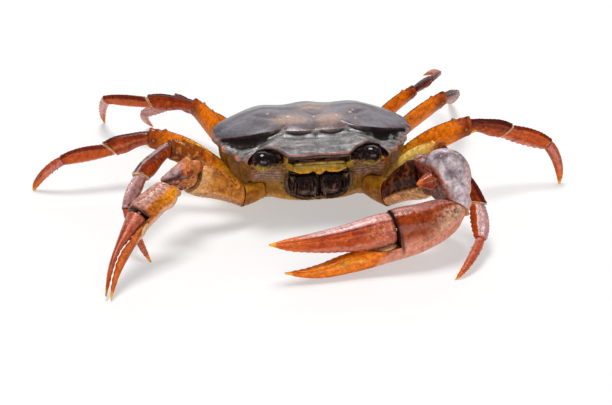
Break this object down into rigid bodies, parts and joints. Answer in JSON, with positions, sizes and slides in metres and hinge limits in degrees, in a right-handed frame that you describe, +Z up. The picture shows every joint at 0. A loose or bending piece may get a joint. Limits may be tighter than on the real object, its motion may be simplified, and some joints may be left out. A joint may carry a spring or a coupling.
{
  "type": "ricefield crab",
  "caption": "Freshwater crab standing on its toes, one claw larger than the other, as a still life-size model.",
  "frame": {"origin": "on the floor, under the middle of the model's box", "axes": "+X to the crab's left, -Y the way it faces, +Z up"},
  "size_m": [0.1355, 0.1012, 0.0239],
  "materials": {
    "carapace_shell": "dark purple-brown crab shell with a wet sheen",
    "belly_shell": "olive-brown shell of the body wall and underside",
    "merus_shell": "amber shell of the upper limb segments",
    "leg_shell": "mahogany shell of the lower limb segments",
    "claw_shell": "red-brown to pink shell of the claws",
    "eye_gloss": "glossy near-black eye",
    "face_shell": "yellow-green and brown shell of the face and mouthparts"
  },
  "bodies": {
    "root": {"antenna_left": "face_shell", "antenna_right": "face_shell", "antennule_left": "face_shell", "antennule_right": "face_shell", "carapace": "carapace_shell", "cheliped_left_carpus": "claw_shell", "cheliped_left_finger": "claw_shell", "cheliped_left_ischium": "merus_shell", "cheliped_left_merus": "merus_shell", "cheliped_left_palm": "claw_shell", "cheliped_right_carpus": "claw_shell", "cheliped_right_finger": "claw_shell", "cheliped_right_ischium": "merus_shell", "cheliped_right_merus": "merus_shell", "cheliped_right_palm": "claw_shell", "epistome": "face_shell", "eye_left": "eye_gloss", "eye_right": "eye_gloss", "eyestalk_left": "face_shell", "eyestalk_right": "face_shell", "leg_2_left_carpus": "leg_shell", "leg_2_left_dactyl": "leg_shell", "leg_2_left_merus": "merus_shell", "leg_2_left_propodus": "leg_shell", "leg_2_right_carpus": "leg_shell", "leg_2_right_dactyl": "leg_shell", "leg_2_right_merus": "merus_shell", "leg_2_right_propodus": "leg_shell", "leg_3_left_carpus": "leg_shell", "leg_3_left_dactyl": "leg_shell", "leg_3_left_merus": "merus_shell", "leg_3_left_propodus": "leg_shell", "leg_3_right_carpus": "leg_shell", "leg_3_right_dactyl": "leg_shell", "leg_3_right_merus": "merus_shell", "leg_3_right_propodus": "leg_shell", "leg_4_left_carpus": "leg_shell", "leg_4_left_dactyl": "leg_shell", "leg_4_left_merus": "merus_shell", "leg_4_left_propodus": "leg_shell", "leg_4_right_carpus": "leg_shell", "leg_4_right_dactyl": "leg_shell", "leg_4_right_merus": "merus_shell", "leg_4_right_propodus": "leg_shell", "leg_5_left_carpus": "leg_shell", "leg_5_left_dactyl": "leg_shell", "leg_5_left_merus": "merus_shell", "leg_5_left_propodus": "leg_shell", "leg_5_right_carpus": "leg_shell", "leg_5_right_dactyl": "leg_shell", "leg_5_right_merus": "merus_shell", "leg_5_right_propodus": "leg_shell", "maxilliped_left": "face_shell", "maxilliped_right": "face_shell", "pleon": "belly_shell", "thorax": "belly_shell"}
  },
  "joints": []
}
